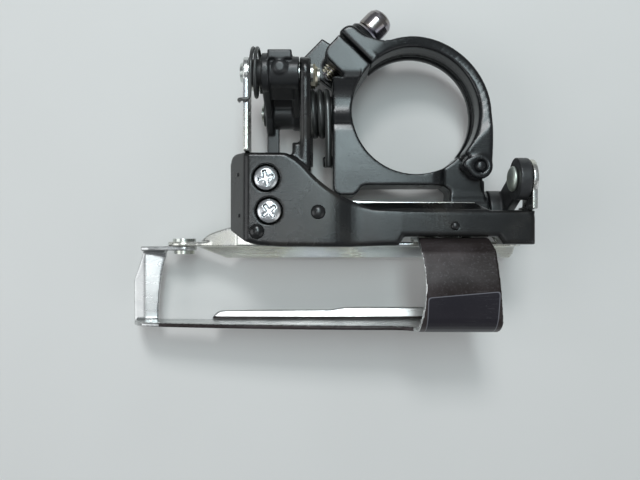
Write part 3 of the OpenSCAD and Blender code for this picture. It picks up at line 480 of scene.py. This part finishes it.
bolt_from_tube = 25.2
bolt_line = Vector((math.cos(bolt_a), math.sin(bolt_a), 0))
bolt_foot = Vector((-math.sin(bolt_a), math.cos(bolt_a), 0)) * bolt_from_tube * mm
thread_pitch = 0.8 * mm
thread_turns = 11
thread_steps = 28
thread_start = -9.3
thread_end = 0.85
tooth_root = 1.35
tooth_crest = 2.42
tooth = ((-9.45, tooth_root), (-9.15, tooth_crest), (-9.05, tooth_crest), (-8.75, tooth_root))
lead_start = -9.5
lead_length = 1.6
lead_share = 0.72
bm = bmesh.new()
flank = [bm.verts.new(bolt_foot + bolt_line * t * mm + Vector((0, 0, r * mm))) for t, r in tooth]
lines = [bm.edges.new(pair) for pair in zip(flank, flank[1:])]
bmesh.ops.spin(
    bm, geom=flank + lines, cent=bolt_foot, axis=bolt_line, dvec=bolt_line * thread_pitch / thread_steps,
    angle=2 * math.pi * thread_turns, steps=thread_steps * thread_turns,
)
for v in bm.verts:
    along = (v.co - bolt_foot).dot(bolt_line) / mm
    axis_spot = bolt_foot + bolt_line * along * mm
    swell = min(1.0, lead_share + (1 - lead_share) * (along - lead_start) / lead_length)
    v.co = axis_spot + (v.co - axis_spot) * swell
for end, outward in ((thread_end, bolt_line), (thread_start, -bolt_line)):
    bmesh.ops.bisect_plane(
        bm, geom=bm.verts[:] + bm.edges[:] + bm.faces[:],
        plane_co=bolt_foot + bolt_line * end * mm, plane_no=outward, clear_outer=True,
    )
bmesh.ops.recalc_face_normals(bm, faces=bm.faces[:])
thread_zinc = plated(
    "zinc plate on the thread", (0.80, 0.77, 0.66, 1), (0.66, 0.62, 0.50, 1),
    streaks=900.0, rough=0.24, relief=0.03,
)
fit(piece_from(bm, "clamp_bolt_thread"), thread_zinc, "clamp_bolt", "plated_steel")

low, high = (Vector(c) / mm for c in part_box("clamp_hinge_pin"))
hinge = Vector(((low.x + high.x) / 2, (low.y + high.y) / 2, 0)) * mm
eye_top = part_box("clamp_band")[1][2] / mm
hinge_half = [
    (0, high.z), (0.95, high.z - 0.02), (1.18, high.z - 0.14), (1.24, eye_top - 0.35),
    (1.5, eye_top - 0.4), (1.5, low.z + 0.9), (2.12, low.z + 0.88), (2.2, low.z + 0.7),
    (1.9, low.z + 0.12), (1.2, low.z), (0, low.z),
]
bm = turned([hinge + Vector((r, 0, z)) * mm for r, z in hinge_half], hinge, axis=(0, 0, 1), steps=40)
fit(piece_from(bm, "clamp_hinge_pin_turned"), cast_paint, "bracket", "plated_steel", "clamp_hinge_pin")

# Burrs that the peening leaves on the eye, either side of the pin
burr_width = 0.45
burr_height = 0.36
burr_round = 0.14
bm = bmesh.new()
for aside, length in ((2.4, 1.25), (-2.2, 0.9)):
    burr = bmesh.ops.create_cube(bm, size=1)["verts"]
    bmesh.ops.scale(bm, verts=burr, vec=Vector((burr_width, length, burr_height)) * mm)
    bmesh.ops.translate(bm, verts=burr, vec=hinge + Vector((0.1, aside, eye_top)) * mm)
bmesh.ops.bevel(
    bm, geom=bm.edges[:], offset=burr_round * mm, offset_type="OFFSET", affect="EDGES",
    segments=3, profile=0.5, material=-1,
)
fit(piece_from(bm, "hinge_eye_burrs"), cast_paint, "clamp_band", "black_cast")

# Bracket pivot pins
# Ground steel pins, zinc plated and pressed into the bracket, on which both links turn.
# Each is kept by a sprung clip in its groove, blackened as the springs are.
pin_zinc = plated(
    "zinc plate on turned pins", (0.62, 0.66, 0.64, 1), (0.52, 0.55, 0.55, 1),
    streaks=1100.0, rough=0.24, relief=0.04,
)
coat_nodes(pin_zinc, "inner_link_pin", "outer_link_pin")


# Return spring, its bush and the clips
# Two and a half turns of oil-blackened spring wire on a resin bush, one leg on the bracket's stop and one
# under the link's arm.
def edges_in(geometry):
    return [g for g in geometry if isinstance(g, bmesh.types.BMEdge)]


def wire_ring(bm, spot, heading, radius, sides=14):
    ring = bmesh.ops.create_circle(bm, cap_ends=False, segments=sides, radius=radius)["verts"]
    turn = Vector((0, 0, 1)).rotation_difference(heading).to_matrix()
    bmesh.ops.rotate(bm, verts=ring, cent=(0, 0, 0), matrix=turn)
    bmesh.ops.translate(bm, verts=ring, vec=spot)
    return [e for e in bm.edges if all(v in ring for v in e.verts)]


def wire_coil(bm, ring, middle, turns, pitch, steps=36):
    made = bmesh.ops.spin(
        bm, geom=ring, cent=middle, axis=(1, 0, 0), dvec=(pitch / steps, 0, 0),
        angle=2 * math.pi * turns, steps=round(steps * turns),
    )
    return edges_in(made["geom_last"])


def wire_leg(bm, ring, heading, spots):
    cut_end = 0.82
    spot = sum((v.co for e in ring for v in e.verts), Vector()) / (2 * len(ring))
    spots = [Vector(s) * mm for s in spots]
    for place, reach in enumerate(spots):
        drawn_out = bmesh.ops.extrude_edge_only(bm, edges=ring)["geom"]
        ring = [e for e in edges_in(drawn_out) if len(e.link_faces) == 1]
        verts = list({v for e in ring for v in e.verts})
        bmesh.ops.translate(bm, verts=verts, vec=reach - spot)
        onward = (spots[min(place + 1, len(spots) - 1)] - spot).normalized()
        bend = heading.rotation_difference(onward).to_matrix()
        bmesh.ops.rotate(bm, verts=verts, cent=reach, matrix=bend)
        spot, heading = reach, onward
    bmesh.ops.scale(bm, verts=verts, vec=(cut_end, cut_end, cut_end), space=Matrix.Translation(-spot))
    bmesh.ops.contextual_create(bm, geom=ring)


spring_black, tree, place, shader = finish_of("oil black on spring wire")
steel = use(tree, rolled, Place=place, Streaks=1500.0)
used = use(tree, wear, Place=place, Amount=0.42, Scale=420.0)
base = tint(tree, ramp(tree, steel["Cloud"], 0.4, 0.7), (0.085, 0.088, 0.086, 1), (0.150, 0.153, 0.150, 1))
base = tint(tree, sums(tree, "MULTIPLY", used["Bare"], 0.6), base, (0.30, 0.30, 0.30, 1))
feed(tree, base, shader.inputs["Base Color"])
shader.inputs["Metallic"].default_value = 0.75
feed(tree, sums(tree, "MULTIPLY_ADD", steel["Streak"], 0.22, 0.26), shader.inputs["Roughness"])
bump(tree, shader, 0.12, 0.05 * mm, steel["Streak"])
coat_nodes(spring_black, "inner_link_clip", "outer_link_clip")

along_y = Vector((0, 1, 0))
ret_z = -2.5
ret_mid = Vector((-29.175, 0.8, ret_z)) * mm
ret_r = 6.15
ret_wire = 0.94
ret_turns = 2.5
ret_pitch = 2.05
stop_leg = ((-23.99, -1.0), (-23.93, -3.2), (-23.85, -8.2), (-23.85, -14.9), (-23.85, -15.2))
arm_leg_x = -29.19
arm_leg_y = (-1.0, -3.2, -8.2, -13.4, -13.7)
bm = bmesh.new()
first = wire_ring(bm, ret_mid + Vector((0, 0, -ret_r * mm)), along_y, ret_wire * mm, sides=18)
last = wire_coil(bm, first, ret_mid, ret_turns, ret_pitch * mm)
wire_leg(bm, last, -along_y, [(x, y, ret_z + ret_r) for x, y in stop_leg])
wire_leg(bm, first, -along_y, [(arm_leg_x, y, ret_z - ret_r) for y in arm_leg_y])
bmesh.ops.recalc_face_normals(bm, faces=bm.faces[:])
return_coil = piece_from(bm, "return_coil")
return_coil.data.materials.append(spring_black)
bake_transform(return_coil)
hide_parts("return_spring")


def moulded(name, colour, shade, rough):
    finish, tree, place, shader = finish_of(name)
    skin = use(tree, cast_skin, Place=place, Grain=2600.0, Pits=0.1)
    feed(tree, tint(tree, ramp(tree, skin["Tone"], 0.35, 0.7), colour, shade), shader.inputs["Base Color"])
    feed(tree, sums(tree, "MULTIPLY_ADD", skin["Tone"], 0.2, rough), shader.inputs["Roughness"])
    bump(tree, shader, 0.08, 0.08 * mm, skin["Height"])
    return finish


black_resin = moulded("black resin", (0.012, 0.012, 0.012, 1), (0.024, 0.023, 0.022, 1), 0.40)
coat_nodes(black_resin, "spring_bush")

# Inner link
# A casting in satin black: two cheeks joined by barrels, with the cable arm, a square tab,
# a ridged stud and the finger that meets the low limit screw.
link_satin = painted(
    "satin black on the links", (0.019, 0.0198, 0.0206, 1), cast_alloy,
    grain=1500.0, pits=0.8, rough=0.32, relief=0.16, rub=0.26,
)
inner_skin = skin_of("inner_link", voxel=0.26 * mm, passes=3)
fit(inner_skin, link_satin, "inner_link", "black_satin", "inner_link")
stud_r = 2.05 * mm
stud_height = 2.0 * mm
groove_share = 0.88
stud_spot = Vector((-36.5, 8.72, 17.2)) * mm
bm = bmesh.new()
stud = bmesh.ops.create_cone(
    bm, cap_ends=True, segments=28, radius1=stud_r, radius2=stud_r, depth=stud_height
)["verts"]
round_the_stud = sorted(stud, key=lambda v: (round(math.atan2(v.co.y, v.co.x), 4), v.co.z))
for place, v in enumerate(round_the_stud):
    if place // 2 % 2:
        v.co.xy *= groove_share
bmesh.ops.translate(bm, verts=bm.verts[:], vec=stud_spot)
fit(piece_from(bm, "stud_ridges"), link_satin, "inner_link", "black_satin")

# Cable anchor
# A zinc plated hexagon bolt with its claw washer behind the link, and the round ended nut in front.
# Turning the bolt draws the claw against the link's arm.
coat_nodes(pin_zinc, "cable_anchor_bolt", "cable_claw")
nut_zinc = plated(
    "zinc plate, yellowish", (0.62, 0.60, 0.50, 1), (0.48, 0.46, 0.36, 1),
    streaks=900.0, rough=0.30, relief=0.08,
)
coat_nodes(nut_zinc, "cable_anchor_nut")

# Outer link
# The front link, cast and finished in satin black as the inner one is.
# It runs between the pin in the bracket's lug and the pin in the steel tab.
outer_skin = skin_of("outer_link", voxel=0.26 * mm, passes=3)
fit(outer_skin, link_satin, "outer_link", "black_satin", "outer_link")

# Carrier
# The moulded black body that holds the limit screws and the rear pivot's ear. It is riveted to its
# steel plate, and two small mould marks stand on its rear wall.
carrier_black = (0.0070, 0.0072, 0.0074, 1)
carrier_bare = (0.20, 0.20, 0.20, 1)
# Its smudges are tinted warm brown: dust, and also a painted reflection of warm glints
carrier_satin = painted(
    "satin black on the carrier", carrier_black, carrier_bare,
    grain=1700.0, pits=0.3, rough=0.22, relief=0.22, rub=0.14, dust_and_glint=(0.012, 0.0095, 0.006),
)
arm_sweep = dict(line=(1, 0), start=-31.0, stop=6.0, near=-50.0, far=-14.0, reach=2.2)
recessed = (
    "limit_screw_low", "limit_screw_high", "carrier_rivet_rear", "carrier_rivet_mid", "carrier_rivet_front"
)
carrier_skin = skin_of(
    "carrier", voxel=0.34 * mm, passes=3, rounding=1.1 * mm, lowest=14.0 * mm, spare=recessed,
    sweeps=[arm_sweep],
)
fit(carrier_skin, carrier_satin, "cage", "black_satin", "carrier")
mark_r = 0.55 * mm
mark_flat = 0.55
rear_wall = Vector((-0.857, 0, 0.515))
onto_wall = Vector((0, 0, 1)).rotation_difference(rear_wall).to_matrix()
bm = bmesh.new()
for spot in ((-47.93, -18.2, 12.2), (-47.51, -29.0, 12.9)):
    mark = bmesh.ops.create_uvsphere(bm, u_segments=16, v_segments=10, radius=mark_r)["verts"]
    bmesh.ops.scale(bm, verts=mark, vec=(1, 1, mark_flat))
    bmesh.ops.rotate(bm, verts=mark, cent=(0, 0, 0), matrix=onto_wall)
    bmesh.ops.translate(bm, verts=mark, vec=Vector(spot) * mm)
fit(piece_from(bm, "carrier_mould_marks"), carrier_satin, "cage", "black_satin")

# Carrier plate, its pins and washer
# Blanked steel under the carrier with the upright rear strap and front tab, zinc plated.
# The front pin is turned with a wide flat head, blasted before plating.
sheet_zinc = plated(
    "zinc plate on sheet", (0.70, 0.72, 0.70, 1), (0.62, 0.63, 0.66, 1),
    streaks=800.0, rough=0.25, relief=0.04,
)
plate_skin = skin_of("carrier_plate", voxel=0.26 * mm, passes=2)
fit(plate_skin, sheet_zinc, "cage", "plated_steel", "carrier_plate")
coat_nodes(pin_zinc, "rear_carrier_pin", "rear_pin_washer")
low, high = (Vector(c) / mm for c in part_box("front_carrier_pin"))
pin_foot = Vector((low.x, (low.y + high.y) / 2, (low.z + high.z) / 2)) * mm
pin_half = [
    (-0.5, 0), (-0.48, 0.9), (-0.4, 1.8), (-0.22, 2.6), (0.1, 3.12), (0.4, 3.3), (0.7, 3.3), (0.92, 3.15),
    (0.95, 2.2), (5.8, 2.2), (5.8, 2.78), (6.05, 2.7), (6.3, 2.2), (6.42, 1.2), (6.45, 0),
]
bm = turned([pin_foot + Vector((x, 0, r)) * mm for x, r in pin_half], pin_foot, axis=(1, 0, 0), steps=48)
head_zinc = plated(
    "zinc plate, blasted", (0.66, 0.74, 0.70, 1), (0.58, 0.64, 0.66, 1),
    streaks=1100.0, rough=0.46, relief=0.04,
)
fit(piece_from(bm, "front_carrier_pin_turned"), head_zinc, "cage", "plated_steel", "front_carrier_pin")

# Helper spring and its bush
# A turn and a half of thin blackened wire round the rear pin, on a bush of black resin.
# Its long leg is hooked over the strap, and its short one ends below the pin.
hlp_mid = Vector((-42.05, 8.22, 14.01)) * mm
hlp_r = 6.2
hlp_wire = 0.46
hlp_turns = 552 / 360
hlp_pitch = -1.06
off_the_coil = Vector((0, -0.978, -0.208))
over_the_strap = [
    (-43.75, 5.7, 19.75), (-43.9, 4.32, 19.35), (-44.0, 3.0, 18.8), (-44.058, 1.82, 18.36),
    (-44.2, 1.2, 18.22), (-44.358, 0.82, 18.185), (-44.65, 0.55, 18.185), (-45.058, 0.42, 18.185),
    (-46.05, 0.42, 18.185), (-46.4, 0.42, 18.1), (-46.65, 0.42, 17.935), (-46.82, 0.42, 17.68),
    (-46.9, 0.42, 17.385), (-46.95, 0.42, 16.2), (-46.95, 0.42, 15.985),
]
below_the_pin = [(-42.05, 5.82, 7.81), (-42.05, 4.4, 7.81), (-42.05, 4.22, 7.81)]
bm = bmesh.new()
first = wire_ring(bm, hlp_mid + Vector((0, 0, -hlp_r * mm)), along_y, hlp_wire * mm)
last = wire_coil(bm, first, hlp_mid, hlp_turns, hlp_pitch * mm)
wire_leg(bm, last, off_the_coil, over_the_strap)
wire_leg(bm, first, -along_y, below_the_pin)
bmesh.ops.recalc_face_normals(bm, faces=bm.faces[:])
fit(piece_from(bm, "helper_coil"), spring_black, "cage", "spring_wire", "helper_spring")
coat_nodes(black_resin, "helper_bush")

# Limit screws and their plate
# Cross-head screws, bright zinc, their heads down in round recesses of the carrier.
# They turn in a plate of cream resin, which holds them by friction.
cream_resin = moulded("cream resin", (0.60, 0.56, 0.43, 1), (0.46, 0.42, 0.30, 1), 0.36)
coat_nodes(cream_resin, "limit_screw_plate")
screw_zinc = plated(
    "zinc plate on screws", (0.76, 0.78, 0.80, 1), (0.62, 0.66, 0.66, 1),
    streaks=1300.0, rough=0.27, relief=0.03,
)
for node, body in (("limit_screw_low", "low_screw"), ("limit_screw_high", "high_screw")):
    fit(skin_of(node, voxel=0.13 * mm, passes=4), screw_zinc, body, "plated_steel", node)

# Inner cage plate
# Pressed steel sheet, zinc plated, with a step along it, a top flange and a gusset to the tail.
# It is riveted to the outer plate at the tail and at the bridge's leg.
inner_sheet = skin_of("inner_plate", voxel=0.27 * mm, passes=2)
fit(inner_sheet, sheet_zinc, "cage", "plated_steel", "inner_plate")

# Outer cage plate
# One folded sheet: web, lower lip, front bridge and tail strap. It is dark coated on its outer side,
# and bare plate shows inside, along the cut edges and on the tail strap.
bridge_sweep = dict(line=(0, 1), start=-56.2, stop=-37.2, near=-22.0, far=2.0, reach=1.5)
outer_sheet = skin_of("outer_plate", voxel=0.27 * mm, passes=5, sweeps=[bridge_sweep])
# Which side each point is on, from 1 on the coated outside to -1 and less on bare sides and cut edges
cage_middle = np.array((0, -47.1, 5.0))
strap_x = -71
web_y = -57.6
web_top = 12.5
lip_top = 3
bare_side = -1
coated_side = 0.7
cut_edge_share = 2.2
spot, normal = places_and_normals(outer_sheet.data)
spot /= mm
x, y, z = spot.T
outward = spot - cage_middle
outward[:, 0] = 0
outward /= np.linalg.norm(outward, axis=1)[:, None]
side = (outward * normal).sum(1)
side = np.where(x < strap_x, bare_side, side)
facing_rear = np.clip((-normal[:, 0] - 0.35) / 0.35, 0, 1)
above_lip = np.clip((z - lip_top) / 2, 0, 1)
side -= cut_edge_share * facing_rear * above_lip
web_edge = (normal[:, 2] > 0.4) & (y < web_y) & (z < web_top) & (x > strap_x)
side = np.where(web_edge, coated_side, side).astype(np.float32)
outer_sheet.data.attributes.new("outer_side", "FLOAT", "POINT").data.foreach_set("value", side)

cage_dark, tree, place, shader = finish_of("dark coat on the cage")
shader.inputs["Specular IOR Level"].default_value = 0.3
edge = add(tree, "Attribute", attribute_name="edge_and_hollow").outputs["Fac"]
outside = add(tree, "Attribute", attribute_name="outer_side").outputs["Fac"]
steel = use(tree, rolled, Place=place, Streaks=800.0)
used = use(tree, wear, Place=place, Edge=edge, Amount=0.30, Scale=420.0)
# Plain bordered panel on the shoulder of the bridge
panel_x = 9.9 * mm
panel_half = 8.9 * mm
panel_y = -50.0 * mm
panel_slope = 0.087
panel_corner = 1.2 * mm
bridge_foot = 8.5 * mm
across = add(tree, "SeparateXYZ", place).outputs
off_x = sums(tree, "ABSOLUTE", sums(tree, "SUBTRACT", across["X"], panel_x))
off_y = sums(tree, "SUBTRACT", sums(tree, "MULTIPLY_ADD", across["X"], -panel_slope, across["Y"]), panel_y)
reach = sums(tree, "SMOOTH_MAX", sums(tree, "SUBTRACT", off_x, panel_half), off_y, panel_corner)
on_bridge = ramp(tree, across["Z"], bridge_foot, bridge_foot + 0.1 * mm)
border = ramp(tree, sums(tree, "ABSOLUTE", reach), 0.06 * mm, 0.16 * mm, 1.0, 0.0)
border = sums(tree, "MULTIPLY", border, on_bridge)
panel = sums(tree, "MULTIPLY", ramp(tree, reach, 0.0, -0.1 * mm), on_bridge)
coat = tint(tree, ramp(tree, used["Smudge"], 0.36, 0.70), (0.022, 0.016, 0.015, 1), (0.050, 0.040, 0.040, 1))
speck = noise(tree, place, 1500.0, 6.0, Roughness=0.75)
coat = tint(tree, ramp(tree, speck, 0.50, 0.80), coat, (0.085, 0.074, 0.082, 1))
coat = tint(tree, sums(tree, "MULTIPLY", panel, 0.8), coat, (0.022, 0.021, 0.029, 1))
coat = tint(tree, sums(tree, "MULTIPLY", used["Scratch"], 0.10), coat, (0.4, 0.4, 0.4, 1))
coat = tint(tree, sums(tree, "MULTIPLY", border, 0.7), coat, (0.24, 0.24, 0.27, 1))
bare = tint(tree, ramp(tree, steel["Cloud"], 0.40, 0.72), (0.63, 0.64, 0.63, 1), (0.48, 0.49, 0.49, 1))
hidden = ramp(tree, sums(tree, "MULTIPLY_ADD", used["Smudge"], 0.3, outside), 0.45, 0.62)
hidden = sums(tree, "MULTIPLY", hidden, sums(tree, "SUBTRACT", 1.0, used["Bare"]))
feed(tree, tint(tree, hidden, bare, coat), shader.inputs["Base Color"])
feed(tree, sums(tree, "MULTIPLY_ADD", hidden, -0.7, 1.0), shader.inputs["Metallic"])
dull = sums(tree, "MULTIPLY_ADD", steel["Streak"], 0.12, 0.22)
feed(tree, sums(tree, "MULTIPLY_ADD", hidden, 0.10, dull), shader.inputs["Roughness"])
bump(tree, shader, 0.04, 0.06 * mm, steel["Streak"])
fit(outer_sheet, cage_dark, "cage", "dark_sheet", "outer_plate")

# Rivets
# The carrier's three rivets have domed heads, pressed smooth and painted with it. The tail's rivet
# is plain plated steel, and two flat ones hold the bridge's leg to the inner plate.
rivet_gloss = painted(
    "gloss black on the rivets", carrier_black, carrier_bare,
    grain=1700.0, pits=0.1, rough=0.20, relief=0.03, rub=0.10,
)
dome = ((0, 0.42), (0.35, 0.40), (0.66, 0.30), (0.88, 0.15), (1, 0))
upset = ((0, 0), (0.35, -0.05), (0.45, -0.3), (0.25, -0.75))
upset_depth = 0.8
for node, r, shank in (
    ("carrier_rivet_rear", 2.0, 1.25), ("carrier_rivet_mid", 1.9, 1.25), ("carrier_rivet_front", 1.15, 0.8)
):
    low, high = (Vector(c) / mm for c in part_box(node))
    middle = (low + high) / 2
    top, under = high.z - 0.4 * r, low.z + upset_depth
    half = [(x * r, top + rise * r) for x, rise in dome] + [(shank, top - 0.02)]
    half += [(shank + x, under + rise) for x, rise in upset] + [(0, under - upset_depth)]
    points = [((middle.x + x) * mm, middle.y * mm, z * mm) for x, z in half]
    bm = turned(points, (middle.x * mm, middle.y * mm, 0), axis=(0, 0, 1), steps=40)
    fit(piece_from(bm, node + "_head"), rivet_gloss, "cage", "black_satin", node)
coat_nodes(pin_zinc, "tail_rivet", "bridge_rivet_rear", "bridge_rivet_front")
